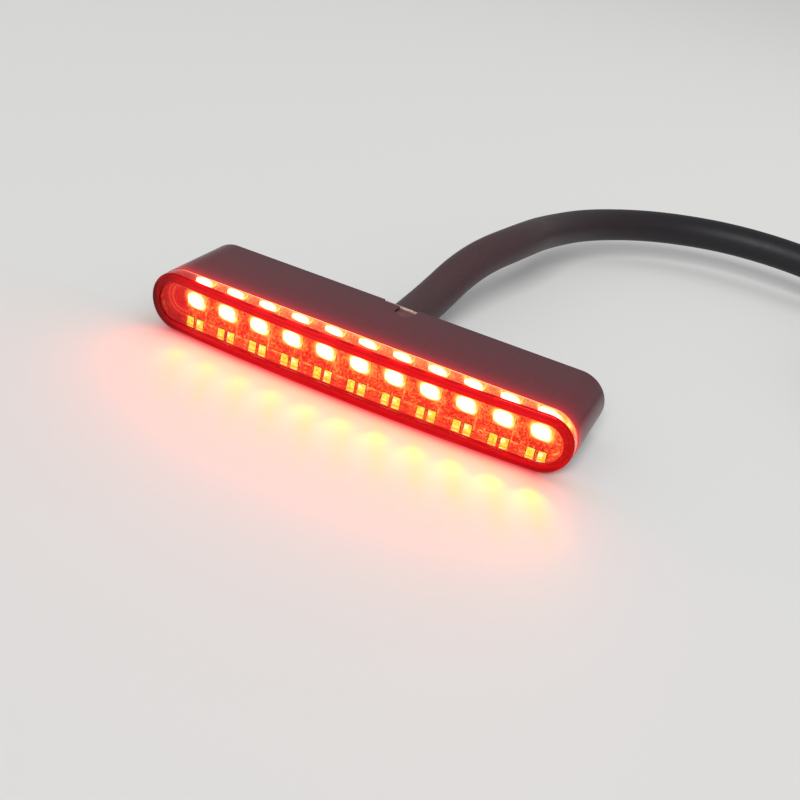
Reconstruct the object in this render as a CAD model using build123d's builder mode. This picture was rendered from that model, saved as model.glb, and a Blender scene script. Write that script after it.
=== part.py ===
"""Bar-shaped LED tail light for a motorcycle, with its flying lead.

Frame: +X along the bar, the lens faces -Y, +Z up. The origin is the bottom
centre of the light itself (the lead is not counted). Millimetres.
"""

import os
from math import cos, pi, radians, sin, tan

from build123d import *

os.makedirs("parts", exist_ok=True)

# ---------------------------------------------------------------- dimensions
bar_length = 80.0  # overall, X
bar_height = 10.8  # overall, Z; the ends are half rounds
bar_depth = 21.5  # overall, Y, from the crown of the lens to the rear rim
bar_radius = bar_height / 2
mid_z = bar_radius

front_y = -bar_depth / 2
rear_y = bar_depth / 2
lens_stand_out = 4.4  # crown of the lens to the shoulder on the housing
joint_y = front_y + lens_stand_out
lens_sagitta = 2.0  # the lens front is convex along X, over the whole length
lens_edge_radius = 0.4
lens_rim = 1.7  # width of the rim round the window in the lens front
lens_recess = 0.45  # the window lies this much behind the rim
lens_inset = 0.06  # the lens outline is this much inside the housing's
spigot_radius = 4.75  # the part of the lens that plugs into the housing
spigot_end_y = front_y + 6.35

front_bore_radius = 4.80
rear_bore_radius = 3.95
board_front_y = front_y + 6.70
board_thickness = 1.0
board_rear_y = board_front_y + board_thickness  # also the housing's seat
board_radius = 4.72
seal_outer_radius = 4.79
seal_inner_radius = 4.61
housing_rear_fillet = 0.35

led_count = 11
led_pitch = 6.54
led_row_x = 0.93  # middle diode
led_z = 5.75
led_width = 3.5
led_height = 2.8
led_front_y = front_y + 5.85
window_radius = 1.2
window_stand = 0.05  # the phosphor stands proud of the package rim
window_depth = 0.35
pad_width = 1.62
pad_gap = 0.40
pad_bottom_z = 0.80
pad_top_z = 2.40
pad_thickness = 0.14
trace_width = 0.28
trace_thickness = 0.08

cable_diameter = 7.5
cable_radius = cable_diameter / 2
cable_x = -0.4
cable_inner_y = front_y + 16.0
core_diameter = 1.9
core_spots = [(-2.25, 4.45), (-0.4, 7.35), (1.45, 4.45)]  # x, z inside the jacket
joint_spots = [(-6.0, 5.4), (-0.4, 5.4), (5.2, 5.4)]  # x, z on the board
solder_height = 0.8
potting_front_y = front_y + 14.2
potting_rear_y = front_y + 20.8

notch_left_x = -3.4
notch_right_x = 3.5
notch_depth = 1.0
slot_x = 1.75
slot_half = 1.75
slot_front_y = rear_y - 4.8

# the lead's route: one point per corner, the arcs are fitted to them
coil_centre = (119.0, 70.75)
coil_radius = 38.0
coil_steps = 12  # corners per turn of the coil
coil_corner_radius = coil_radius / cos(pi / coil_steps)
upper_turn_z = 11.35
lead_route = [
    (-0.4, 5.25, 5.4),
    (-0.4, 22.75, 5.4),
    (2.3, 39.65, 11.6),
    (7.2, 57.3, 13.0),
    (7.6, 75.8, 10.3),
    (13.8, 95.0, 9.3),
    (28.6, 110.0, 9.6),
    (48.4, 117.0, 10.2),
    (71.0, 115.3, 9.9),
    (91.5, 110.8, 4.3),
    (coil_centre[0] - coil_corner_radius * sin(radians(15)), coil_centre[1] + coil_radius, cable_radius),
    (coil_centre[0], coil_centre[1] + coil_radius, cable_radius),
]
leave_angle = 40.0  # where the tail leaves the upper turn, from +X
leave_x = coil_centre[0] + coil_radius * cos(radians(leave_angle))
leave_y = coil_centre[1] + coil_radius * sin(radians(leave_angle))
tail_route = [
    (leave_x, leave_y, upper_turn_z),
    (leave_x + 12.5 * sin(radians(leave_angle)), leave_y - 12.5 * cos(radians(leave_angle)), upper_turn_z),
    (leave_x + 16.1, leave_y - 20.2, 11.3),
    (leave_x + 23.4, leave_y - 34.7, 6.9),
    (leave_x + 26.4, leave_y - 49.2, 4.2),
    (leave_x + 26.9, leave_y - 60.2, 4.15),
]

sleeve_radius = 4.1
sleeve_length = 12.0
tail_core_spots = [(-2.0, 3.2), (0.0, 5.9), (2.0, 3.2)]  # x from the axis, z
terminal_spots = [-7.0, 0.0, 7.0]  # x of each terminal from the axis
terminal_z = 2.7
terminal_sleeve_radius = 2.7
terminal_sleeve_length = 8.0
bullet_radius = 2.0
bullet_length = 8.0


def facing_front(y):
    """Upright plane at y: local x is +X, local y is +Z, normal to the front."""
    return Plane(origin=(0, y, 0), x_dir=(1, 0, 0), z_dir=(0, -1, 0))


def corner_radii(points):
    """0.45 of the shorter run over the tangent of half the turn, per corner."""
    radii = []
    for before, here, after in zip(points, points[1:], points[2:]):
        a = Vector(*here) - Vector(*before)
        b = Vector(*after) - Vector(*here)
        radii.append(0.45 * min(a.length, b.length) / tan(radians(a.get_angle(b)) / 2))
    return radii


def path_length(line):
    return sum(edge.length for edge in line.edges())


def report_tube(name, part, length, radius):
    expected = pi * radius**2 * length
    print(f"{name}: length {length:.1f} mm, volume {part.volume:.0f}, section x length {expected:.0f}")


def led_positions():
    return [led_row_x + (i - (led_count - 1) / 2) * led_pitch for i in range(led_count)]


# ------------------------------------------------------------------- housing
# Pill-section sleeve: wide bore and board seat in front, narrower bore behind,
# and a notch in the top of the rear rim.
with BuildPart() as housing:
    with BuildSketch(facing_front(joint_y)):
        SlotOverall(bar_length, bar_height, align=(Align.CENTER, Align.MIN))
    extrude(amount=-(rear_y - joint_y))
    fillet(housing.edges().group_by(Axis.Y)[-1], radius=housing_rear_fillet)
    chamfer(housing.edges().group_by(Axis.Y)[0], length=0.15)
    with BuildSketch(facing_front(joint_y)):
        with Locations((0, mid_z)):
            SlotOverall(bar_length - 2 * (bar_radius - rear_bore_radius), 2 * rear_bore_radius)
    extrude(amount=-(rear_y - joint_y), mode=Mode.SUBTRACT)
    with BuildSketch(facing_front(joint_y)):
        with Locations((0, mid_z)):
            SlotOverall(bar_length - 2 * (bar_radius - front_bore_radius), 2 * front_bore_radius)
    extrude(amount=-(board_rear_y - joint_y), mode=Mode.SUBTRACT)
    # notch over the lead, with a narrower slot that runs further forward
    with BuildSketch(Plane.XY.offset(mid_z + 2.0)):
        with Locations(((notch_left_x + notch_right_x) / 2, rear_y)):
            Rectangle(notch_right_x - notch_left_x, 2 * notch_depth)
        with Locations((slot_x, rear_y)):
            Rectangle(2 * slot_half, 2 * (rear_y - slot_front_y - slot_half))
        with Locations((slot_x, slot_front_y + slot_half)):
            Circle(slot_half)
    extrude(amount=bar_height, mode=Mode.SUBTRACT)

# ---------------------------------------------------------------------- lens
# Solid clear block: full outline in front of the housing, a shallow window
# inside a rim on its front, a spigot inside the housing, and pockets in its
# back for the diodes.
lens_radius = bar_radius - lens_inset
half = bar_length / 2 + 2
half_sagitta = lens_sagitta * (half / (bar_length / 2)) ** 2
with BuildPart() as window_recess:
    with BuildSketch(facing_front(front_y - 1)):
        with Locations((0, mid_z)):
            SlotOverall(bar_length - 2 * lens_inset - 2 * lens_rim, 2 * (lens_radius - lens_rim))
    extrude(amount=-(lens_stand_out + 1))
    with BuildSketch(Plane.XY.offset(-1)):
        with BuildLine():
            ThreePointArc(
                (-half, front_y + half_sagitta + lens_recess),
                (0, front_y + lens_recess),
                (half, front_y + half_sagitta + lens_recess),
            )
            Polyline(
                (half, front_y + half_sagitta + lens_recess),
                (half, front_y - 2),
                (-half, front_y - 2),
                (-half, front_y + half_sagitta + lens_recess),
            )
        make_face()
    extrude(amount=bar_height + 2, mode=Mode.INTERSECT)

with BuildPart() as lens:
    with BuildSketch(facing_front(front_y)):
        with Locations((0, mid_z)):
            SlotOverall(bar_length - 2 * lens_inset, 2 * lens_radius)
    extrude(amount=-lens_stand_out)
    with BuildSketch(Plane.XY.offset(-1)):
        with BuildLine():
            ThreePointArc((-half, front_y + half_sagitta), (0, front_y), (half, front_y + half_sagitta))
            Polyline(
                (half, front_y + half_sagitta),
                (half, joint_y + 1),
                (-half, joint_y + 1),
                (-half, front_y + half_sagitta),
            )
        make_face()
    extrude(amount=bar_height + 2, mode=Mode.INTERSECT)
    fillet(lens.faces().sort_by(Axis.Y)[0].edges(), radius=lens_edge_radius)
    add(window_recess.part, mode=Mode.SUBTRACT)
    with BuildSketch(facing_front(joint_y)):
        with Locations((0, mid_z)):
            SlotOverall(bar_length - 2 * (bar_radius - spigot_radius), 2 * spigot_radius)
    extrude(amount=-(spigot_end_y - joint_y))
    with BuildSketch(facing_front(spigot_end_y)):
        with Locations([(x, led_z) for x in led_positions()]):
            RectangleRounded(led_width + 0.2, led_height + 0.2, 0.3)
    extrude(amount=spigot_end_y - (led_front_y - window_stand) + 0.05, mode=Mode.SUBTRACT)

# ----------------------------------------------------------------- lens seal
# Gasket pinched between the back of the lens and the board's edge.
with BuildPart() as lens_seal:
    with BuildSketch(facing_front(spigot_end_y)):
        with Locations((0, mid_z)):
            SlotOverall(bar_length - 2 * (bar_radius - seal_outer_radius), 2 * seal_outer_radius)
            SlotOverall(
                bar_length - 2 * (bar_radius - seal_inner_radius), 2 * seal_inner_radius, mode=Mode.SUBTRACT
            )
    extrude(amount=-(board_front_y - spigot_end_y))

# -------------------------------------------------------------- circuit board
with BuildPart() as circuit_board:
    with BuildSketch(facing_front(board_front_y)):
        with Locations((0, mid_z)):
            SlotOverall(bar_length - 2 * (bar_radius - board_radius), 2 * board_radius)
    extrude(amount=-board_thickness)

# ------------------------------------------------------------ diode packages
# Surface-mount packages with a round cup for the phosphor and one cut corner.
with BuildPart() as led_packages:
    with BuildSketch(facing_front(led_front_y)):
        with Locations([(x, led_z) for x in led_positions()]):
            Rectangle(led_width, led_height)
            with Locations((led_width / 2, led_height / 2)):
                Rectangle(0.7, 0.7, rotation=45, mode=Mode.SUBTRACT)
    extrude(amount=-(board_front_y - led_front_y))
    with BuildSketch(facing_front(led_front_y)):
        with Locations([(x, led_z) for x in led_positions()]):
            Circle(window_radius + 0.15)
    extrude(amount=-window_depth, taper=20, mode=Mode.SUBTRACT)

# ------------------------------------------------------- light-emitting faces
with BuildPart() as led_windows:
    with BuildSketch(facing_front(led_front_y - window_stand)):
        with Locations([(x, led_z) for x in led_positions()]):
            Circle(window_radius)
    extrude(amount=-(window_stand + window_depth - 0.01), taper=20)

# ---------------------------------------------------------- diode terminals
with BuildPart() as led_terminals:
    with BuildSketch(facing_front(board_front_y - pad_thickness)):
        with Locations([(x, (pad_bottom_z + pad_top_z) / 2) for x in led_positions()]):
            with Locations((-(pad_width + pad_gap) / 2, 0), ((pad_width + pad_gap) / 2, 0)):
                RectangleRounded(pad_width, pad_top_z - pad_bottom_z, 0.25)
    extrude(amount=-pad_thickness)

# ------------------------------------------------------------- copper tracks
# One upright track beside each diode, and links from pad to pad.
with BuildPart() as copper_tracks:
    with BuildSketch(facing_front(board_front_y - trace_thickness)):
        with Locations([(x + 2.0, 4.3) for x in led_positions()[:-1]]):
            Rectangle(trace_width, 5.6)
        with Locations([(x + led_pitch / 2, 2.0) for x in led_positions()[:-1]]):
            Rectangle(led_pitch - 2 * pad_width - pad_gap - 0.02, 0.3)
    extrude(amount=-trace_thickness)
    # hooked track that follows the board's end past the last diode
    with BuildSketch(facing_front(board_front_y - trace_thickness)):
        with BuildLine():
            hook_outer = CenterArc((bar_length / 2 - bar_radius, mid_z), 3.6, -72, 34)
            hook_inner = CenterArc((bar_length / 2 - bar_radius, mid_z), 3.25, -72, 34)
            Line(hook_outer @ 0, hook_inner @ 0)
            Line(hook_outer @ 1, hook_inner @ 1)
        make_face()
    extrude(amount=-trace_thickness)

# ------------------------------------------------- parts on the board's back
resistor_x = [-31.0, -24.5, -18.0, 17.5, 24.0, 30.5]
with BuildPart() as resistors:
    with BuildSketch(facing_front(board_rear_y)):
        with Locations([(x, mid_z) for x in resistor_x]):
            Rectangle(2.4, 1.6)
    extrude(amount=-0.55)

with BuildPart() as resistor_caps:
    with BuildSketch(facing_front(board_rear_y)):
        with Locations([(x, mid_z) for x in resistor_x]):
            with Locations((-1.45, 0), (1.45, 0)):
                Rectangle(0.5, 1.6)
    extrude(amount=-0.6)

with BuildPart() as blocking_diode:
    with BuildSketch(facing_front(board_rear_y)):
        with Locations((11.5, mid_z)):
            Rectangle(4.2, 2.6)
    extrude(amount=-1.9, taper=6)
    chamfer(blocking_diode.edges().group_by(Axis.Y)[-1], length=0.2)

with BuildPart() as diode_tabs:
    with BuildSketch(facing_front(board_rear_y)):
        with Locations((11.5 - 2.55, mid_z), (11.5 + 2.55, mid_z)):
            Rectangle(0.9, 1.5)
    extrude(amount=-0.3)

with BuildPart() as current_regulator:
    with BuildSketch(facing_front(board_rear_y)):
        with Locations((-12.0, mid_z + 0.3)):
            Rectangle(4.4, 2.4)
    extrude(amount=-1.5, taper=5)
    chamfer(current_regulator.edges().group_by(Axis.Y)[-1], length=0.15)

with BuildPart() as regulator_pins:
    with BuildSketch(facing_front(board_rear_y)):
        with Locations((-13.5, mid_z - 1.5), (-12.0, mid_z - 1.5), (-10.5, mid_z - 1.5)):
            Rectangle(0.45, 1.1)
        with Locations((-12.0, mid_z + 1.95)):
            Rectangle(1.8, 0.8)
    extrude(amount=-0.35)

with BuildPart() as capacitor:
    with BuildSketch(facing_front(board_rear_y)):
        with Locations((15.4 - 0.9, mid_z + 2.4)):
            Rectangle(2.0, 1.2)
    extrude(amount=-0.9)

# --------------------------------------------------------------- lead wires
with BuildPart() as solder_joints:
    with BuildSketch(facing_front(board_rear_y)):
        with Locations(joint_spots):
            Circle(1.35)
    extrude(amount=-solder_height, taper=18)

wire_names = ["lead_ground", "lead_tail", "lead_brake"]
wire_parts = []
for (joint_x, joint_z), (core_x, core_z), wire_name in zip(joint_spots, core_spots, wire_names):
    wire_points = [
        (joint_x, board_rear_y + solder_height, joint_z),
        (joint_x, board_rear_y + solder_height + 1.5, joint_z),
        (core_x, front_y + 13.1, core_z),
        (core_x, cable_inner_y, core_z),
    ]
    with BuildPart() as wire:
        with BuildLine() as wire_line:
            FilletPolyline(*wire_points, radius=[0.9 * r for r in corner_radii(wire_points)])
        with BuildSketch(Plane(wire_line.line @ 0, z_dir=wire_line.line % 0)):
            Circle(core_diameter / 2)
        sweep(path=wire_line.line)
    wire.part.label = wire_name
    wire_parts.append(wire.part)

# ------------------------------------------------------------------- potting
with BuildPart() as potting_compound:
    with BuildSketch(facing_front(potting_front_y)):
        with Locations((0, mid_z)):
            SlotOverall(bar_length - 2 * (bar_radius - rear_bore_radius) - 0.02, 2 * rear_bore_radius - 0.02)
    extrude(amount=-(potting_rear_y - potting_front_y))
    with BuildSketch(facing_front(potting_front_y)):
        with Locations(core_spots):
            Circle(core_diameter / 2 + 0.01)
    extrude(amount=-(cable_inner_y - potting_front_y), mode=Mode.SUBTRACT)
    with BuildSketch(facing_front(cable_inner_y)):
        with Locations((cable_x, mid_z)):
            Circle(cable_radius + 0.01)
    extrude(amount=-(potting_rear_y - cable_inner_y), mode=Mode.SUBTRACT)

# ---------------------------------------------------------- adhesive in notch
with BuildPart() as notch_adhesive:
    with BuildSketch(Plane.XY.offset(mid_z + rear_bore_radius + 0.02)):
        with Locations(((notch_left_x + notch_right_x) / 2, rear_y - 0.06 - notch_depth / 2 + 0.08)):
            Rectangle(notch_right_x - notch_left_x - 0.02, notch_depth - 0.2)
        with Locations((slot_x, slot_front_y + slot_half)):
            Circle(slot_half - 0.01)
        with Locations((slot_x, (slot_front_y + slot_half + rear_y - 0.14) / 2)):
            Rectangle(2 * slot_half - 0.02, rear_y - 0.14 - slot_front_y - slot_half)
    extrude(amount=1.05)
    fillet(notch_adhesive.edges().group_by(Axis.Z)[-1], radius=0.15)
    # bead squeezed out along the rim
    with BuildSketch(Plane(origin=(notch_left_x + 0.3, 0, 0), x_dir=(0, 1, 0), z_dir=(1, 0, 0))):
        with Locations((rear_y - 0.5, mid_z + rear_bore_radius + 1.0)):
            Circle(0.34)
    extrude(amount=5.6, taper=1)

# ----------------------------------------------------------------- the lead
with BuildPart() as cable_jacket:
    with BuildLine() as lead_line:
        FilletPolyline(*lead_route, radius=corner_radii(lead_route))
    with BuildSketch(Plane(lead_line.line @ 0, z_dir=lead_line.line % 0)):
        Circle(cable_radius)
    sweep(path=lead_line.line)

# Outer shape of the wound length: a lower turn that starts where the lead
# comes in, and an upper turn that lies on it and ends where the tail leaves.
entry_gap = 37  # degrees left open in the lower turn for the incoming lead
with BuildPart() as cable_coil:
    with BuildSketch(Plane.XZ.offset(-coil_centre[1])):
        with Locations((coil_centre[0] + coil_radius, cable_radius)):
            Rectangle(cable_diameter, cable_diameter)
    revolve(
        axis=Axis((coil_centre[0], coil_centre[1], 0), (0, 0, 1)),
        revolution_arc=360,
    )
    with BuildSketch(Plane.XY.offset(-1)):
        Polygon(
            coil_centre,
            (coil_centre[0], coil_centre[1] + 60),
            (coil_centre[0] - 60 * tan(radians(entry_gap)), coil_centre[1] + 60),
            align=None,
        )
    extrude(amount=cable_diameter + 2, mode=Mode.SUBTRACT)
    with BuildSketch(
        Plane(
            origin=(coil_centre[0], coil_centre[1], 0),
            x_dir=(cos(radians(leave_angle)), sin(radians(leave_angle)), 0),
            z_dir=(sin(radians(leave_angle)), -cos(radians(leave_angle)), 0),
        )
    ):
        with Locations((coil_radius, (cable_diameter + upper_turn_z + cable_radius) / 2)):
            Rectangle(cable_diameter, upper_turn_z + cable_radius - cable_diameter)
    revolve(
        axis=Axis((coil_centre[0], coil_centre[1], 0), (0, 0, 1)),
        revolution_arc=175,
    )
    # room over the incoming lead
    with BuildSketch(Plane.XY.offset(cable_diameter)):
        with Locations((coil_centre[0] - 30, coil_centre[1] + 60)):
            Rectangle(60, 60)
    extrude(amount=0.4, mode=Mode.SUBTRACT)

with BuildPart() as cable_tail:
    with BuildLine() as tail_line:
        FilletPolyline(*tail_route, radius=corner_radii(tail_route))
    with BuildSketch(Plane(tail_line.line @ 0, z_dir=tail_line.line % 0)):
        Circle(cable_radius)
    sweep(path=tail_line.line)

# ------------------------------------------------------------ the far end
tail_end = tail_line.line @ 1
tail_dir = tail_line.line % 1
with BuildPart() as end_sleeve:
    with BuildSketch(Plane(tail_end, z_dir=tail_dir)):
        Circle(sleeve_radius)
    extrude(amount=sleeve_length, taper=2)
    fillet(end_sleeve.edges().group_by(Axis.Y)[0], radius=0.9)

sleeve_front = tail_end + tail_dir * sleeve_length
terminal_start_y = sleeve_front.Y - 15.0
tail_wire_names = ["tail_wire_black", "tail_wire_red", "tail_wire_yellow"]
tail_wires = []
for (dx, z), spot, wire_name in zip(tail_core_spots, terminal_spots, tail_wire_names):
    start = Vector(sleeve_front.X + dx, sleeve_front.Y, z)
    wire_points = [
        (start.X, start.Y, start.Z),
        (start.X, start.Y - 3.2, start.Z - 0.05),
        (sleeve_front.X + dx * 0.5 + spot * 0.5, start.Y - 7.6, (start.Z + terminal_z) / 2),
        (sleeve_front.X + spot, start.Y - 12.0, terminal_z),
        (sleeve_front.X + spot, terminal_start_y, terminal_z + 0.01),
    ]
    with BuildPart() as wire:
        with BuildLine() as wire_line:
            FilletPolyline(*wire_points, radius=corner_radii(wire_points))
        with BuildSketch(Plane(wire_line.line @ 0, z_dir=wire_line.line % 0)):
            Circle(core_diameter / 2)
        sweep(path=wire_line.line)
        # ends square to the sleeve's face
        split(bisect_by=Plane(sleeve_front, z_dir=tail_dir), keep=Keep.TOP)
    wire.part.label = wire_name
    tail_wires.append(wire.part)

terminal_xs = [sleeve_front.X + spot for spot in terminal_spots]
with BuildPart() as terminal_sleeves:
    with BuildSketch(facing_front(terminal_start_y)):
        with Locations([(x, terminal_z) for x in terminal_xs]):
            Circle(terminal_sleeve_radius)
    extrude(amount=terminal_sleeve_length)
    fillet(terminal_sleeves.edges().group_by(Axis.Y)[0], radius=0.5)
    fillet(terminal_sleeves.edges().group_by(Axis.Y)[-1], radius=0.9)

# Bullets: collar, neck and a round-nosed barrel
with BuildPart() as one_bullet:
    with BuildSketch(Plane.XY):
        with BuildLine():
            Polyline(
                (0, 0),
                (bullet_radius, 0),
                (bullet_radius, -2.2),
                (bullet_radius - 0.45, -2.8),
                (bullet_radius - 0.45, -3.6),
                (bullet_radius, -4.2),
                (bullet_radius, -bullet_length + 1.4),
                (bullet_radius * 0.72, -bullet_length + 0.4),
                (bullet_radius * 0.4, -bullet_length),
                (0, -bullet_length),
                (0, 0),
            )
        make_face()
    revolve(axis=Axis.Y)

with BuildPart() as bullet_terminals:
    with Locations([(x, terminal_start_y - terminal_sleeve_length, terminal_z) for x in terminal_xs]):
        add(one_bullet.part)

# ------------------------------------------------------------------- output
pieces = {
    "housing": housing.part,
    "lens": lens.part,
    "lens_seal": lens_seal.part,
    "circuit_board": circuit_board.part,
    "led_packages": led_packages.part,
    "led_windows": led_windows.part,
    "led_terminals": led_terminals.part,
    "copper_tracks": copper_tracks.part,
    "resistors": resistors.part,
    "resistor_caps": resistor_caps.part,
    "blocking_diode": blocking_diode.part,
    "diode_tabs": diode_tabs.part,
    "current_regulator": current_regulator.part,
    "regulator_pins": regulator_pins.part,
    "capacitor": capacitor.part,
    "solder_joints": solder_joints.part,
    "potting_compound": potting_compound.part,
    "notch_adhesive": notch_adhesive.part,
    "cable_jacket": cable_jacket.part,
    "cable_coil": cable_coil.part,
    "cable_tail": cable_tail.part,
    "end_sleeve": end_sleeve.part,
    "terminal_sleeves": terminal_sleeves.part,
    "bullet_terminals": bullet_terminals.part,
}
for wire_name, wire_part in zip(wire_names + tail_wire_names, wire_parts + tail_wires):
    pieces[wire_name] = wire_part

for piece_name, piece in pieces.items():
    piece.label = piece_name
    export_step(piece, f"parts/{piece_name}.step")

print("lead radii", [round(r) for r in corner_radii(lead_route)])
print("tail radii", [round(r) for r in corner_radii(tail_route)])
report_tube("cable_jacket", cable_jacket.part, path_length(lead_line), cable_radius)
report_tube("cable_tail", cable_tail.part, path_length(tail_line), cable_radius)
turn_length = 2 * pi * coil_radius * (1 + (90 - leave_angle) / 360)
print(f"whole lead {path_length(lead_line) + path_length(tail_line) + turn_length:.0f} mm")
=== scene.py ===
import math

import bmesh
import bpy
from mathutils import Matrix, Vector


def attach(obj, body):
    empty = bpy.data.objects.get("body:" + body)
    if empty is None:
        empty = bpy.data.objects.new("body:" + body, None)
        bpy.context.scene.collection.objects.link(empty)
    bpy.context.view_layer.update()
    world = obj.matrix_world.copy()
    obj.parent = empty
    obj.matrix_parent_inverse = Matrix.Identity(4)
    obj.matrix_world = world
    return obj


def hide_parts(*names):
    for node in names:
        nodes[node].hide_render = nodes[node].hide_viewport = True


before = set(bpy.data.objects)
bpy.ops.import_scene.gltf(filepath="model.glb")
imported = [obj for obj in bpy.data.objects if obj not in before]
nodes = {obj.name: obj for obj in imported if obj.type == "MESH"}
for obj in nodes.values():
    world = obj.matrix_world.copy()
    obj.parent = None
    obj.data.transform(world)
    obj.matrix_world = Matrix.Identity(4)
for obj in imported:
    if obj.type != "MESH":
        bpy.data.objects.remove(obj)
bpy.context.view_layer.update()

MM = 0.001

scene = bpy.context.scene
scene.view_settings.view_transform = "Standard"


# ---------------------------------------------------------------- camera
cam_data = bpy.data.cameras.new("camera")
cam = bpy.data.objects.new("camera", cam_data)
scene.collection.objects.link(cam)
cam.location = (0.05984, -0.16013, 0.08962)
cam.rotation_euler = (1.0644378, -0.1890490, 0.4226452)
cam_data.lens = 48.996
cam_data.sensor_width = 36.0
cam_data.clip_start = 0.005
cam_data.clip_end = 20.0
scene.camera = cam


# ------------------------------------------------------------- materials
class Nodes:
    """A material with its Principled shader, and short calls to add nodes."""

    def __init__(self, name):
        self.material = bpy.data.materials.new(name)
        self.material.use_nodes = True
        self.tree = self.material.node_tree
        self.tree.nodes.clear()
        self.out = self.tree.nodes.new("ShaderNodeOutputMaterial")
        self.shader = self.tree.nodes.new("ShaderNodeBsdfPrincipled")
        self.link(self.shader.outputs[0], self.out.inputs["Surface"])
        self.coords = self.tree.nodes.new("ShaderNodeTexCoord").outputs["Object"]

    def link(self, a, b):
        self.tree.links.new(a, b)

    def put(self, socket, value):
        if hasattr(value, "is_linked"):
            self.link(value, socket)
        elif value is not None:
            socket.default_value = value

    def set(self, **values):
        for key, value in values.items():
            self.put(self.shader.inputs[key.replace("_", " ")], value)
        return self

    def math(self, op, a, b=0.0, c=0.0, clamp=False):
        n = self.tree.nodes.new("ShaderNodeMath")
        n.operation = op
        n.use_clamp = clamp
        for socket, value in zip(n.inputs, (a, b, c)):
            self.put(socket, value)
        return n.outputs[0]

    def noise(self, scale, detail=3.0, rough=0.5, stretch=(1, 1, 1), distortion=0.0):
        m = self.tree.nodes.new("ShaderNodeMapping")
        m.inputs["Scale"].default_value = stretch
        self.link(self.coords, m.inputs["Vector"])
        n = self.tree.nodes.new("ShaderNodeTexNoise")
        n.inputs["Scale"].default_value = scale
        n.inputs["Detail"].default_value = detail
        n.inputs["Roughness"].default_value = rough
        n.inputs["Distortion"].default_value = distortion
        self.link(m.outputs[0], n.inputs["Vector"])
        return n.outputs["Fac"]

    def cells(self, scale, feature="F1", randomness=1.0):
        n = self.tree.nodes.new("ShaderNodeTexVoronoi")
        n.feature = feature
        n.inputs["Scale"].default_value = scale
        n.inputs["Randomness"].default_value = randomness
        self.link(self.coords, n.inputs["Vector"])
        return n.outputs["Distance"]

    def axis(self, name):
        n = self.tree.nodes.new("ShaderNodeSeparateXYZ")
        self.link(self.coords, n.inputs[0])
        return n.outputs[name]

    def ramp(self, value, *stops, smooth=False):
        n = self.tree.nodes.new("ShaderNodeValToRGB")
        if smooth:
            n.color_ramp.interpolation = "EASE"
        e = n.color_ramp.elements
        while len(e) < len(stops):
            e.new(0.5)
        for el, (pos, col) in zip(e, stops):
            el.position = pos
            el.color = tuple(col) + (1,) if hasattr(col, "__len__") else (col, col, col, 1)
        self.put(n.inputs[0], value)
        return n.outputs[0]

    def span(self, value, a, b, to_a=0.0, to_b=1.0, smooth=False):
        n = self.tree.nodes.new("ShaderNodeMapRange")
        if smooth:
            n.interpolation_type = "SMOOTHSTEP"
        for i, v in enumerate((value, a, b, to_a, to_b)):
            self.put(n.inputs[i], v)
        return n.outputs[0]

    def mix(self, factor, a, b, mode="MIX"):
        n = self.tree.nodes.new("ShaderNodeMix")
        n.data_type = "RGBA"
        n.blend_type = mode
        self.put(n.inputs[0], factor)
        self.put(n.inputs[6], a)
        self.put(n.inputs[7], b)
        return n.outputs[2]

    def bump(self, height, strength=0.2, distance=0.0001):
        n = self.tree.nodes.new("ShaderNodeBump")
        n.inputs["Strength"].default_value = strength
        n.inputs["Distance"].default_value = distance
        self.link(height, n.inputs["Height"])
        self.link(n.outputs[0], self.shader.inputs["Normal"])
        return self


def give(obj, material):
    obj.data.materials.clear()
    obj.data.materials.append(material)


def link(obj):
    scene.collection.objects.link(obj)
    return obj


# ---------------------------------------------------------------- cord
def nurbs(name, points, radius, resolution=12):
    """One open NURBS spline with a route's own points as control points, as a round cord."""
    curve = bpy.data.curves.new(name, "CURVE")
    curve.dimensions = "3D"
    spline = curve.splines.new("NURBS")
    spline.points.add(len(points) - 1)
    for p, (x, y, z) in zip(spline.points, points):
        p.co = (x, y, z, 1.0)
        p.radius = radius
    spline.order_u = 3
    spline.use_endpoint_u = True
    spline.resolution_u = resolution
    curve.bevel_depth = 1.0  # times each point's radius
    curve.bevel_resolution = 12
    curve.use_fill_caps = True
    return link(bpy.data.objects.new(name, curve))


COIL = (0.119, 0.07075)
CORNER_R = 0.03934


def coil_point(angle, z, r=CORNER_R):
    a = math.radians(angle)
    return (COIL[0] + r * math.cos(a), COIL[1] + r * math.sin(a), z)


LEAD_ROUTE = [
    (-0.0004, 0.00525, 0.0054),
    (-0.0004, 0.02275, 0.0054),
    (0.0023, 0.03965, 0.0116),
    (0.0072, 0.0573, 0.0130),
    (0.0076, 0.0758, 0.0103),
    (0.0138, 0.0950, 0.0093),
    (0.0286, 0.1100, 0.0096),
    (0.0484, 0.1170, 0.0102),
    (0.0710, 0.1153, 0.0099),
    (0.0915, 0.1108, 0.0043),
    (0.10882, 0.10875, 0.00375),
]
TURNS = [
    coil_point(75, 0.00375),
    coil_point(45, 0.00375),
    coil_point(15, 0.00375),
    coil_point(-15, 0.00375),
    coil_point(-45, 0.00375),
    coil_point(-75, 0.00375),
    coil_point(-105, 0.00375),
    coil_point(-135, 0.0041),
    coil_point(-165, 0.0062),
    coil_point(-195, 0.0091),
    coil_point(-225, 0.01125),
    coil_point(-255, 0.01135),
    coil_point(-285, 0.01135),
    coil_point(-310, 0.01135, 0.03859),
]
TAIL_ROUTE = [
    (0.15615, 0.08560, 0.01135),
    (0.16421, 0.07498, 0.0113),
    (0.17151, 0.06048, 0.0069),
    (0.17451, 0.04598, 0.0042),
    (0.17501, 0.03498, 0.00415),
]
cord = nurbs("lead", LEAD_ROUTE + TURNS + TAIL_ROUTE, 0.00375)
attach(cord, "root")
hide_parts("cable_jacket", "cable_coil", "cable_tail")
m = Nodes("jacket")
grain = m.noise(900, 4, 0.6)
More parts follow.
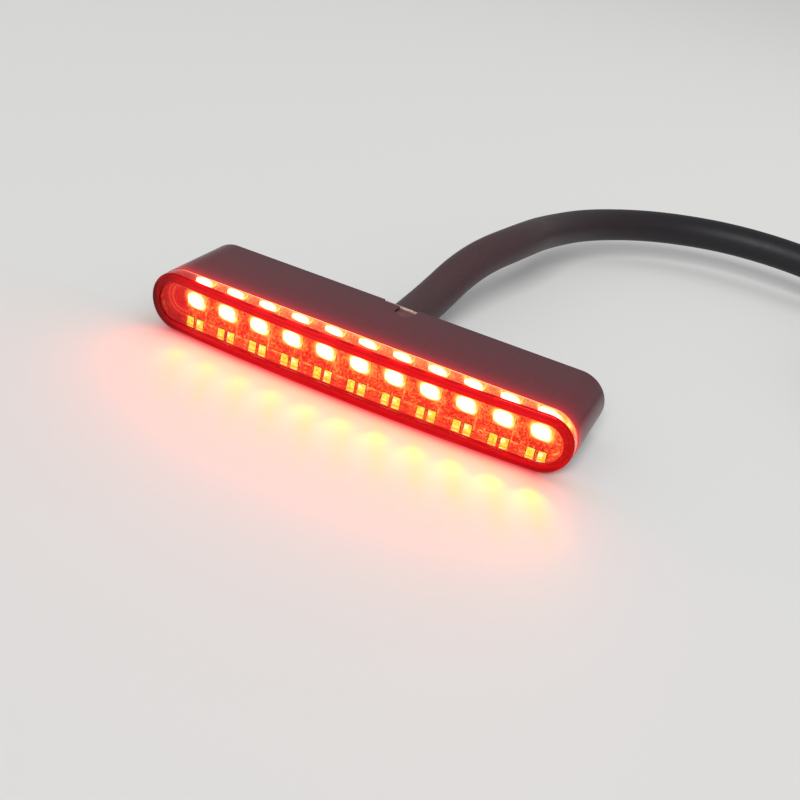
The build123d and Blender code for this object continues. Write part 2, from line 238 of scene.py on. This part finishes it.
x, y = m.axis("X"), m.axis("Y")
# painted red glow: the jacket is tinted maroon near the housing, where the diodes' light falls, and fades to its
# near-black further away
away = m.math("SQRT", m.math("ADD", m.math("MULTIPLY", x, x), m.math("MULTIPLY", y, y)))
painted_red_cast = m.mix(m.span(away, 0.015, 0.125, smooth=True), (0.058, 0.029, 0.033, 1), (0.0085, 0.0078, 0.0105, 1))
m.set(Base_Color=m.mix(m.span(grain, 0.3, 0.7), painted_red_cast, m.mix(1.0, painted_red_cast, (1.35, 1.25, 1.25, 1), "MULTIPLY")),
      Roughness=m.span(grain, 0.2, 0.8, 0.44, 0.56), Specular_IOR_Level=0.3)
m.bump(grain, 0.25, 0.00008)
give(cord, m.material)


# ---------------------------------------------------------------- lens
FRONT = -10.75
JOINT = -6.35
MID_Z = 5.4
RADIUS = 5.34
HALF = 40.0 - 5.4  # centres of the end arcs
SAG = 2.0


def outline(inset, arc=24, straight=60):
    """Stadium outline in x, z (mm), counter-clockwise seen from the front."""
    r = RADIUS - inset
    pts = []
    for i in range(arc + 1):
        a = -math.pi / 2 + math.pi * i / arc
        pts.append((HALF + r * math.cos(a), MID_Z + r * math.sin(a)))
    for i in range(1, straight):
        pts.append((HALF - 2 * HALF * i / straight, MID_Z + r))
    for i in range(arc + 1):
        a = math.pi / 2 + math.pi * i / arc
        pts.append((-HALF + r * math.cos(a), MID_Z + r * math.sin(a)))
    for i in range(1, straight):
        pts.append((-HALF + 2 * HALF * i / straight, MID_Z - r))
    return pts


def crown(x):
    return FRONT + SAG * (x / 40.0) ** 2


def quarter(steps, r):
    """(inset, set-back) pairs round a convex edge of radius r, front to side."""
    out = []
    for k in range(steps + 1):
        a = math.pi / 2 * k / steps
        out.append((r * (1 - math.sin(a)), r * (1 - math.cos(a))))
    return out


def make_lens():
    """Solid clear block: rimmed front, full outline to the joint, spigot behind."""
    bm = bmesh.new()
    edge, rim, recess, soft = 0.40, 1.70, 0.45, 0.10
    order = [(rim + 0.45, recess), (rim + 0.14, recess)]
    order += [(rim + 0.10, recess - 0.02), (rim + 0.06, recess - 0.08), (rim + 0.03, recess * 0.5)]
    order += [(rim + 0.01, 0.10), (rim - 0.03, 0.03), (rim - 0.10, 0.0), (rim - 0.4, 0.0), (edge + 0.15, 0.0)]
    order += quarter(7, edge)
    rings = []
    for inset, back in order:
        rings.append([(x, crown(x) + back, z) for x, z in outline(inset)])
    for inset, y in ((0.0, -8.0), (0.0, JOINT - 0.10), (0.03, JOINT - 0.02), (0.10, JOINT), (0.62, JOINT),
                     (0.62, -4.45), (0.65, -4.42), (0.76, -4.42), (0.76, -4.02)):
        rings.append([(x, y, z) for x, z in outline(inset)])
    rows = [[bm.verts.new((x * MM, y * MM, z * MM)) for x, y, z in ring] for ring in rings]
    n = len(rows[0])
    for a, b in zip(rows, rows[1:]):
        for i in range(n):
            bm.faces.new((a[i], a[(i + 1) % n], b[(i + 1) % n], b[i]))

    def cap(ring):
        """Close a ring with strips across it, end to end."""
        arc, straight = 24, 60
        pairs = [(ring[arc // 2 - i], ring[arc // 2 + i]) for i in range(arc // 2 + 1)]
        pairs += [(ring[n - i], ring[arc + i]) for i in range(1, straight)]
        left = arc + straight
        pairs += [(ring[(left + arc - i) % n], ring[left + i]) for i in range(arc // 2 + 1)]
        for (a0, a1), (b0, b1) in zip(pairs, pairs[1:]):
            corner = []
            for v in (a0, a1, b1, b0):
                if v not in corner:
                    corner.append(v)
            if len(corner) > 2:
                bm.faces.new(corner)

    cap(rows[0])
    cap(rows[-1])
    bmesh.ops.recalc_face_normals(bm, faces=bm.faces)
    for f in bm.faces:
        f.smooth = True
    me = bpy.data.meshes.new("lens_block")
    bm.to_mesh(me)
    bm.free()
    me.set_sharp_from_angle(angle=math.radians(32))
    return link(bpy.data.objects.new("lens_block", me))


lens = make_lens()
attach(lens, "root")
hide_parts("lens")


def pill(m):
    """Distance from the middle line of the pill section, in metres."""
    dx = m.math("MAXIMUM", m.math("SUBTRACT", m.math("ABSOLUTE", m.axis("X")), 0.0346), 0.0)
    dz = m.math("SUBTRACT", m.axis("Z"), 0.0054)
    return m.math("SQRT", m.math("ADD", m.math("MULTIPLY", dx, dx), m.math("MULTIPLY", dz, dz)))


m = Nodes("lens")
x, y, z = m.axis("X"), m.axis("Y"), m.axis("Z")
dist = pill(m)
depth = m.math("SUBTRACT", m.math("ADD", y, 0.01075), m.math("MULTIPLY", m.math("MULTIPLY", x, x), 1.25))
face = m.span(depth, 0.00040, 0.00060, 1.0, 0.0, smooth=True)  # rim and window, with the rounded edge
rim = m.math("MULTIPLY", face, m.span(dist, 0.00352, 0.00368, smooth=True))
side = m.math("MULTIPLY", m.math("SUBTRACT", 1.0, face), m.math("GREATER_THAN", dist, 0.0050))
low = m.span(z, 0.0002, 0.0030, 1.0, 0.0, smooth=True)
end_wall = m.span(x, -0.0352, -0.0378, smooth=True)
foot = m.math("MULTIPLY", side, m.math("MAXIMUM", low, end_wall))
streak = m.noise(900, 3, 0.6, stretch=(0.08, 1, 1))
top_light = m.span(z, 0.0070, 0.0106, smooth=True)
# the painted glow is dimmed towards both ends of the lens
left = m.math("MULTIPLY", m.span(x, -0.0402, -0.0290, 0.14, 1.0, smooth=True), m.span(x, 0.0330, 0.0398, 1.0, 0.50, smooth=True))
# painted glow: the diodes' light scattered in the rim, in the sides and along the joint is painted as emission, with a
# painted bright line along the top of the joint
ring = m.math("ADD", m.math("MULTIPLY", dist, 1.0), m.math("MULTIPLY", m.math("SUBTRACT", streak, 0.5), 0.0004))
band = m.ramp(m.span(ring, 0.00355, 0.00535), (0.0, 1.25), (0.12, 0.66), (0.40, 0.84), (0.62, 0.60), (0.80, 0.98), (0.90, 0.66), (1.0, 0.40), smooth=True)
rim_level = m.math("MULTIPLY", m.math("MULTIPLY", left, band), m.span(z, 0.0, 0.0108, 0.46, 0.66))
rim_colour = m.ramp(streak, (0.30, (0.90, 0.003, 0.010)), (0.55, (1.0, 0.006, 0.020)), (0.72, (1.0, 0.030, 0.030)))
side_colour = m.ramp(m.span(z, 0.0, 0.0108), (0.0, (0.70, 0.004, 0.010)), (0.25, (0.9, 0.02, 0.022)),
                     (0.6, (1.0, 0.20, 0.16)), (0.95, (1.0, 0.22, 0.05)))
seam = m.span(y, -0.00685, -0.00650, smooth=True)
side_colour = m.mix(m.span(x, -0.0285, -0.0335, 0.0, 0.92, smooth=True), side_colour, (0.75, 0.006, 0.018, 1))
side_colour = m.mix(m.math("MULTIPLY", seam, top_light), side_colour, (1.0, 0.62, 0.22, 1))
side_level = m.math("MULTIPLY", left, m.math("ADD", m.span(streak, 0.3, 0.7, 0.24, 0.48), m.math("MULTIPLY", seam, 0.6)))
m.set(Base_Color=m.mix(m.math("MAXIMUM", m.math("MAXIMUM", rim, foot), m.math("MULTIPLY", m.math("SUBTRACT", 1.0, face), m.span(x, -0.0300, -0.0335, 0.0, 0.80, smooth=True))), (1, 0.60, 0.56, 1), (0.07, 0.00002, 0.00004, 1)),
      Roughness=m.math("ADD", m.math("MULTIPLY", rim, 0.10), m.math("MULTIPLY", foot, 0.30)),
      IOR=1.49, Specular_IOR_Level=0.05, Specular_Tint=(1.0, 0.18, 0.14, 1),
      Transmission_Weight=m.math("SUBTRACT", 1.0, m.math("MULTIPLY", foot, 0.97)),
      Emission_Color=m.mix(side, rim_colour, side_colour),
      Emission_Strength=m.math("ADD", m.math("MULTIPLY", rim, rim_level), m.math("MULTIPLY", side, side_level)))
give(lens, m.material)


# ---------------------------------------------------------------- housing
m = Nodes("housing")
grain = m.noise(1500, 3, 0.6)
cloud = m.noise(60, 2, 0.5)
y = m.axis("Y")
dist = pill(m)
inner = m.math("MULTIPLY", m.math("LESS_THAN", dist, 0.00530), m.math("LESS_THAN", y, -0.0030))
lit = m.noise(700, 3, 0.6, stretch=(0.15, 1, 1))
# painted red cast: the housing is tinted redder towards the lens and less red at the back, standing for the diodes'
# light
back = m.math("ADD", m.span(y, -0.0060, 0.0110), m.math("MULTIPLY", m.math("SUBTRACT", cloud, 0.5), 0.15))
painted_red_cast = m.mix(back, (0.138, 0.011, 0.018, 1), (0.074, 0.020, 0.026, 1))
# painted glow: emission on the inner walls next to the lens and a halo fading back from the joint
halo = m.math("MULTIPLY", m.math("EXPONENT", m.math("MULTIPLY", m.math("ADD", y, 0.00635), -720.0)), 0.52)
m.set(Base_Color=m.mix(m.span(grain, 0.3, 0.7), painted_red_cast, m.mix(1.0, painted_red_cast, (1.25, 1.3, 1.3, 1), "MULTIPLY")),
      Roughness=m.span(grain, 0.2, 0.8, 0.26, 0.34), Specular_IOR_Level=0.28,
      Emission_Color=m.ramp(lit, (0.3, (0.80, 0.004, 0.012)), (0.7, (1.0, 0.012, 0.030))),
      Emission_Strength=m.math("ADD", m.math("MULTIPLY", inner, 0.7), halo))
m.bump(grain, 0.2, 0.00005)
give(nodes["housing"], m.material)

LED_X0 = 0.93
LED_PITCH = 6.54
LED_Z = 5.75


def led_local(m):
    """x from the nearest diode and z from the diode row, in mm."""
    x = m.math("DIVIDE", m.math("SUBTRACT", m.axis("X"), LED_X0 * MM), LED_PITCH * MM)
    k = m.math("MINIMUM", m.math("MAXIMUM", m.math("ROUND", x), -5.0), 5.0)
    u = m.math("MULTIPLY", m.math("SUBTRACT", x, k), LED_PITCH)
    v = m.math("MULTIPLY", m.math("SUBTRACT", m.axis("Z"), LED_Z * MM), 1000.0)
    return u, v


def radius(m, u, v, ku=1.0, kv=1.0):
    a = m.math("MULTIPLY", u, ku)
    b = m.math("MULTIPLY", v, kv)
    return m.math("SQRT", m.math("ADD", m.math("MULTIPLY", a, a), m.math("MULTIPLY", b, b)))


def blob(m, u, v):
    """Size in mm of the rounded glow through a point: full above, narrower and to the right below."""
    low = m.math("MINIMUM", v, 0.0)
    side = m.math("ABSOLUTE", m.math("ADD", m.math("MULTIPLY", m.math("ADD", u, 0.20), 0.92), m.math("MULTIPLY", low, 0.40)))
    up = m.math("ABSOLUTE", m.math("ADD", m.math("MULTIPLY", low, 1.34), m.math("MULTIPLY", m.math("MAXIMUM", v, 0.0), 1.14)))
    both = m.math("ADD", m.math("POWER", side, 2.6), m.math("POWER", up, 2.6))
    return m.math("POWER", both, 1.0 / 2.6)


def glow(m, r):
    """Colour of the glow around a diode, from nearly white to red."""
    return m.ramp(m.math("DIVIDE", r, 3.0), (0.46, (1.0, 0.92, 0.70)), (0.52, (1.0, 0.84, 0.26)), (0.59, (1.0, 0.56, 0.08)),
                  (0.66, (1.0, 0.30, 0.05)), (0.77, (1.0, 0.14, 0.035)), (0.92, (1.0, 0.06, 0.025)))


# light-emitting faces
m = Nodes("led_windows")
u, v = led_local(m)
dots = m.noise(2500, 2, 0.5)
r = m.math("ADD", blob(m, u, v), m.math("MULTIPLY", m.math("SUBTRACT", dots, 0.5), 0.35))
m.set(Base_Color=(0.9, 0.5, 0.3, 1),
      Emission_Color=glow(m, r), Emission_Strength=m.span(r, 1.30, 1.80, 3.6, 1.25), Roughness=0.5, Specular_IOR_Level=0.0)
give(nodes["led_windows"], m.material)
# what the diodes throw on the floor comes from the lamps further down
nodes["led_windows"].visible_diffuse = False
nodes["led_packages"].visible_diffuse = False

# packages: the cup glows, brightest next to the window
m = Nodes("led_packages")
u, v = led_local(m)
grit = m.noise(2600, 2, 0.6)
r = m.math("ADD", blob(m, u, v), m.math("MULTIPLY", m.math("SUBTRACT", grit, 0.5), 0.35))
m.set(Base_Color=(0.5, 0.2, 0.1, 1),
      Emission_Color=glow(m, r), Emission_Strength=m.span(r, 1.30, 1.80, 2.8, 1.25), Roughness=0.5, Specular_IOR_Level=0.0)
give(nodes["led_packages"], m.material)

# tinned pads under each diode: the diodes' light on them is painted as emission, with a painted highlight right of the
# middle and dark edges
m = Nodes("led_terminals")
u, v = led_local(m)
w = m.math("ABSOLUTE", u)
edge = m.math("MINIMUM", m.math("MINIMUM", m.math("SUBTRACT", w, 0.20), m.math("SUBTRACT", 1.82, w)),
              m.math("SUBTRACT", -3.35, v))
pad_highlight = radius(m, m.math("SUBTRACT", u, 0.62), m.math("ADD", v, 4.15), 1.0, 1.3)
patch = m.noise(1700, 2, 0.6)
level = m.math("ADD", m.math("MINIMUM", m.math("MULTIPLY", pad_highlight, 0.75), 0.55), m.math("MULTIPLY", m.math("SUBTRACT", patch, 0.5), 1.6))
colour = m.ramp(level, (0.22, (1.0, 0.95, 0.60)), (0.38, (1.0, 0.80, 0.09)), (0.62, (1.0, 0.66, 0.05)), (0.88, (1.0, 0.26, 0.03)))
m.set(Base_Color=(0.10, 0.05, 0.02, 1),
      Emission_Color=m.mix(m.span(edge, 0.08, 0.18), (0.16, 0.018, 0.005, 1), colour),
      Emission_Strength=1.4, Roughness=0.4, Specular_IOR_Level=0.0)
give(nodes["led_terminals"], m.material)

# copper tracks: the diodes' light on them is painted as emission
m = Nodes("copper_tracks")
n1 = m.noise(1300, 2, 0.5)
m.set(Base_Color=(0.10, 0.03, 0.02, 1),
      Emission_Color=m.ramp(n1, (0.38, (1.0, 0.08, 0.03)), (0.60, (1.0, 0.46, 0.10))),
      Emission_Strength=1.0, Roughness=0.4, Specular_IOR_Level=0.0)
give(nodes["copper_tracks"], m.material)

# board: the diodes' light on it is painted as emission, a red glow with a speckled pattern, warmer next to each diode
m = Nodes("circuit_board")
u, v = led_local(m)
r = blob(m, u, v)
speck = m.noise(2300, 2, 0.8)
fine = m.noise(4200, 2, 0.7)
cloud = m.noise(420, 2, 0.5)
level = m.math("ADD", m.math("MULTIPLY", m.math("SUBTRACT", speck, 0.5), 2.2),
               m.math("ADD", m.math("MULTIPLY", m.math("SUBTRACT", fine, 0.5), 1.6),
                      m.math("MULTIPLY", m.math("SUBTRACT", cloud, 0.5), 0.6)))
level = m.math("ADD", m.math("ADD", level, 0.38), m.span(r, 1.9, 3.4, 0.30, 0.0))
speckled_glow = m.ramp(level, (0.0, (0.74, 0.012, 0.014)), (0.25, (0.97, 0.034, 0.024)), (0.50, (1.0, 0.11, 0.030)),
                (0.80, (1.0, 0.34, 0.06)), (1.0, (1.0, 0.62, 0.20)))
# painted glow at the end of the row, away from the diodes: plain red with rings
ends = m.span(m.axis("X"), -0.0330, -0.0350, smooth=True)
rings = m.ramp(m.math("DIVIDE", m.math("MULTIPLY", pill(m), 1000.0), 5.0), (0.30, (0.72, 0.004, 0.016)), (0.44, (0.85, 0.010, 0.022)), (0.50, (1.0, 0.11, 0.07)),
               (0.55, (0.62, 0.003, 0.012)), (0.66, (1.0, 0.05, 0.04)), (0.71, (0.56, 0.003, 0.012)), (0.95, (0.40, 0.002, 0.008)))
speckled_glow = m.mix(m.math("MULTIPLY", ends, 0.86), speckled_glow, rings)
m.set(Base_Color=(0.04, 0.006, 0.006, 1),
      Emission_Color=m.mix(m.span(r, 1.75, 2.9, 0.95, 0.0, smooth=True), speckled_glow, glow(m, r)),
      Emission_Strength=m.span(r, 1.6, 2.6, 1.9, 0.95), Roughness=0.5, Specular_IOR_Level=0.0)
m.bump(speck, 0.3, 0.00005)
give(nodes["circuit_board"], m.material)

# lens seal: the diodes' light on it is painted as emission, with a painted bright strip under each pad
m = Nodes("lens_seal")
u, v = led_local(m)
w = m.math("ABSOLUTE", u)
n1 = m.noise(1200, 2, 0.5)
strip = m.math("MULTIPLY", m.math("LESS_THAN", v, -4.60), m.span(m.math("MINIMUM", m.math("SUBTRACT", w, 0.20), m.math("SUBTRACT", 1.82, w)), 0.0, 0.10))
m.set(Base_Color=(0.2, 0.05, 0.04, 1),
      Emission_Color=m.mix(strip, m.ramp(n1, (0.3, (0.8, 0.02, 0.02)), (0.7, (1.0, 0.12, 0.04))), (1.0, 0.55, 0.05, 1)),
      Emission_Strength=m.math("ADD", m.math("MULTIPLY", strip, 0.6), 0.7), Roughness=0.5, Specular_IOR_Level=0.0)
give(nodes["lens_seal"], m.material)


# ------------------------------------------------------- the other pieces
def mottled(names, dark, light, scale, rough, bump=0.2, metal=0.0, stretch=(1, 1, 1), coat=0.0, spec=None):
    """Colour, gloss and relief from one grain, shared by like pieces."""
    m = Nodes(names[0])
    n = m.noise(scale, 4, 0.6, stretch=stretch)
    wide = m.noise(scale * 0.13, 2, 0.5)
    f = m.span(m.math("ADD", m.math("MULTIPLY", n, 0.65), m.math("MULTIPLY", wide, 0.35)), 0.34, 0.66)
    m.set(Base_Color=m.mix(f, tuple(dark) + (1,), tuple(light) + (1,)), Metallic=metal,
          Roughness=m.span(n, 0.25, 0.75, rough[0], rough[1]))
    if coat:
        m.set(Coat_Weight=coat)
    m.bump(n, bump, 0.0001)
    for name in names:
        give(nodes[name], m.material)


mottled(["potting_compound"], (0.010, 0.009, 0.010), (0.022, 0.020, 0.021), 260, (0.14, 0.30), 0.15, coat=0.4)
mottled(["solder_joints"], (0.42, 0.42, 0.44), (0.72, 0.72, 0.74), 900, (0.18, 0.34), 0.25, metal=1.0)
mottled(["resistor_caps", "diode_tabs", "regulator_pins"], (0.48, 0.48, 0.48), (0.74, 0.73, 0.71), 1600, (0.22, 0.40), 0.2, metal=1.0)
mottled(["resistors"], (0.016, 0.017, 0.022), (0.040, 0.042, 0.050), 2400, (0.20, 0.34), 0.2)
mottled(["blocking_diode", "current_regulator"], (0.014, 0.014, 0.014), (0.034, 0.034, 0.034), 2600, (0.48, 0.66), 0.4)
mottled(["capacitor"], (0.34, 0.22, 0.12), (0.50, 0.36, 0.22), 2200, (0.32, 0.46), 0.2)
mottled(["lead_ground", "tail_wire_black"], (0.010, 0.010, 0.010), (0.026, 0.025, 0.025), 1400, (0.32, 0.46), 0.2)
mottled(["lead_brake", "tail_wire_red"], (0.36, 0.008, 0.007), (0.52, 0.018, 0.014), 1400, (0.30, 0.44), 0.2)
mottled(["lead_tail", "tail_wire_yellow"], (0.66, 0.42, 0.02), (0.84, 0.58, 0.05), 1400, (0.30, 0.44), 0.2)
mottled(["end_sleeve"], (0.008, 0.008, 0.008), (0.020, 0.020, 0.021), 700, (0.42, 0.60), 0.45, stretch=(1, 0.25, 1))
mottled(["bullet_terminals"], (0.62, 0.44, 0.16), (0.86, 0.66, 0.32), 1100, (0.16, 0.34), 0.15, metal=1.0, stretch=(1, 0.2, 1))

# soft clear sleeves over the terminals
m = Nodes("terminal_sleeves")
n = m.noise(900, 3, 0.6, stretch=(1, 0.3, 1))
m.set(Base_Color=m.ramp(n, (0.3, (0.62, 0.62, 0.58)), (0.7, (0.82, 0.82, 0.79))),
      Roughness=m.span(n, 0.2, 0.8, 0.16, 0.30), IOR=1.45, Transmission_Weight=0.45)
m.bump(n, 0.15, 0.0001)
give(nodes["terminal_sleeves"], m.material)

# adhesive: pale bead along the rim, darker down in the slot
m = Nodes("notch_adhesive")
n = m.noise(650, 3, 0.6, stretch=(0.5, 1, 1), distortion=0.6)
bead = m.span(m.math("ADD", m.axis("Y"), m.math("MULTIPLY", n, 0.0009)), 0.0098, 0.0107, smooth=True)
m.set(Base_Color=m.mix(bead, m.ramp(n, (0.3, (0.080, 0.020, 0.022)), (0.7, (0.17, 0.062, 0.058))),
                       m.ramp(n, (0.3, (0.34, 0.22, 0.17)), (0.7, (0.56, 0.42, 0.35)))),
      Roughness=m.span(n, 0.2, 0.8, 0.30, 0.46), Specular_IOR_Level=0.25)
m.bump(n, 0.5, 0.0003)
give(nodes["notch_adhesive"], m.material)

# ---------------------------------------------------------------- stage
bpy.ops.mesh.primitive_plane_add(size=3.0, location=(0, 0, 0))
floor = bpy.context.object
floor.name = "floor"
m = Nodes("floor")
x, y = m.axis("X"), m.axis("Y")
fx, fy = m.math("SUBTRACT", x, 0.10), m.math("ADD", y, 0.02)
far = m.math("SQRT", m.math("ADD", m.math("MULTIPLY", fx, fx), m.math("MULTIPLY", fy, fy)))
paper = m.noise(420, 4, 0.6)
# painted red glow and painted contact shadow, by distance in front of the lens: near the foot the other colours are
# left weak, further out a yellow-orange tint
wide = m.math("MAXIMUM", m.math("SUBTRACT", m.math("ABSOLUTE", x), 0.035), 0.0)
mid = m.math("MINIMUM", m.math("ABSOLUTE", x), 0.037)
ahead = m.math("MAXIMUM", m.math("SUBTRACT", m.math("SUBTRACT", m.math("MULTIPLY", m.math("MULTIPLY", mid, mid), 1.25), 0.01075), y), 0.0)
gap = m.math("SQRT", m.math("ADD", m.math("MULTIPLY", wide, wide), m.math("MULTIPLY", ahead, ahead)))
gate = m.span(y, -0.0050, -0.0095, smooth=True)
foot = m.math("MULTIPLY", gate, m.math("EXPONENT", m.math("MULTIPLY", gap, -520.0)))
field = m.math("MULTIPLY", m.math("MULTIPLY", gate, m.math("MULTIPLY", m.span(x, -0.048, -0.018, 0.35, 1.0, smooth=True), m.span(x, 0.030, 0.058, 1.0, 0.0, smooth=True))), m.math("EXPONENT", m.math("MULTIPLY", gap, -55.0)))
painted_glow_and_shade = m.mix(field, (1, 1, 1, 1), (1.0, 0.85, 0.70, 1))
painted_glow_and_shade = m.mix(1.0, painted_glow_and_shade, m.mix(foot, (1, 1, 1, 1), (1.0, 0.24, 0.34, 1)), "MULTIPLY")
# painted pools of light: a yellow oval on the floor in front of each diode
skew = m.math("DIVIDE", m.math("SUBTRACT", m.math("SUBTRACT", x, LED_X0 * MM), m.math("MULTIPLY", gap, 0.44)), LED_PITCH * MM)
off = m.math("MULTIPLY", m.math("SUBTRACT", skew, m.math("MINIMUM", m.math("MAXIMUM", m.math("ROUND", skew), -5.0), 5.0)), LED_PITCH)
along = m.math("DIVIDE", m.math("SUBTRACT", gap, 0.0088), m.span(gap, 0.0088, 0.0090, 0.0062, 0.0085))
across = m.math("DIVIDE", off, 1.65)
oval = m.math("EXPONENT", m.math("MULTIPLY", m.math("ADD", m.math("MULTIPLY", across, across), m.math("MULTIPLY", along, along)), -1.0))
oval = m.math("MULTIPLY", m.math("MULTIPLY", oval, m.span(x, -0.036, 0.020, 0.55, 1.0)), m.span(m.noise(150, 2, 0.5), 0.35, 0.65, 0.55, 1.0))
painted_glow_and_shade = m.mix(1.0, painted_glow_and_shade, m.mix(m.math("MULTIPLY", gate, oval), (1, 1, 1, 1), (1.0, 1.0, 0.68, 1)), "MULTIPLY")
# painted light falloff: the floor is a little paler far from the point (0.10, -0.02)
plain = m.mix(m.span(far, 0.06, 0.50, smooth=True), (0.80, 0.803, 0.80, 1), (0.815, 0.815, 0.805, 1))
m.set(Base_Color=m.mix(1.0, plain, painted_glow_and_shade, "MULTIPLY"),
      Roughness=m.span(paper, 0.2, 0.8, 0.55, 0.65), Specular_IOR_Level=0.2)
m.bump(paper, 0.05, 0.00005)
give(floor, m.material)


def lamp(kind, name, where, aim, energy, colour, shown=False):
    data = bpy.data.lights.new(name, kind)
    data.energy = energy
    data.color = colour
    obj = link(bpy.data.objects.new(name, data))
    obj.location = where
    obj.rotation_euler = (Vector(aim) - Vector(where)).to_track_quat("-Z", "Y").to_euler()
    obj.visible_camera = False
    obj.visible_transmission = False
    obj.visible_glossy = shown
    return data


key = lamp("AREA", "key", (0.60, -4.20, 3.30), (0, 0, 0), 194.0, (1.0, 0.995, 0.985), shown=True)
key.size = 2.2

# weak overhead lamp at the back right
fill = lamp("AREA", "fill", (0.20, 0.28, 0.50), (0.20, 0.28, 0.0), 0.36, (1.0, 1.0, 1.0))
fill.size = 0.4

# light thrown on the floor by the diodes: one soft wash and one beam each
wash = lamp("AREA", "wash", (0.0009, -0.01145, 0.0050), (0.0009, -0.0300, -0.0020), 0.024, (1.0, 0.05, 0.02))
wash.shape = "RECTANGLE"
wash.size = 0.066
wash.size_y = 0.004
for i in range(11):
    lx = (LED_X0 + (i - 5) * LED_PITCH) * MM
    ly = crown(lx / MM) * MM - 0.0007
    beam = lamp("SPOT", "beam_%02d" % (i + 1), (lx, ly, 0.0048), (lx + 4.6 * MM, ly - 10.5 * MM, 0.0), 0.0054 + 0.0006 * i, (1.0, 0.29, 0.02))
    beam.spot_size = math.radians(54)
    beam.spot_blend = 1.0
    beam.shadow_soft_size = 0.0005

world = bpy.data.worlds.new("world")
world.use_nodes = True
world.node_tree.nodes["Background"].inputs["Color"].default_value = (1, 1, 1, 1)
world.node_tree.nodes["Background"].inputs["Strength"].default_value = 0.44
scene.world = world
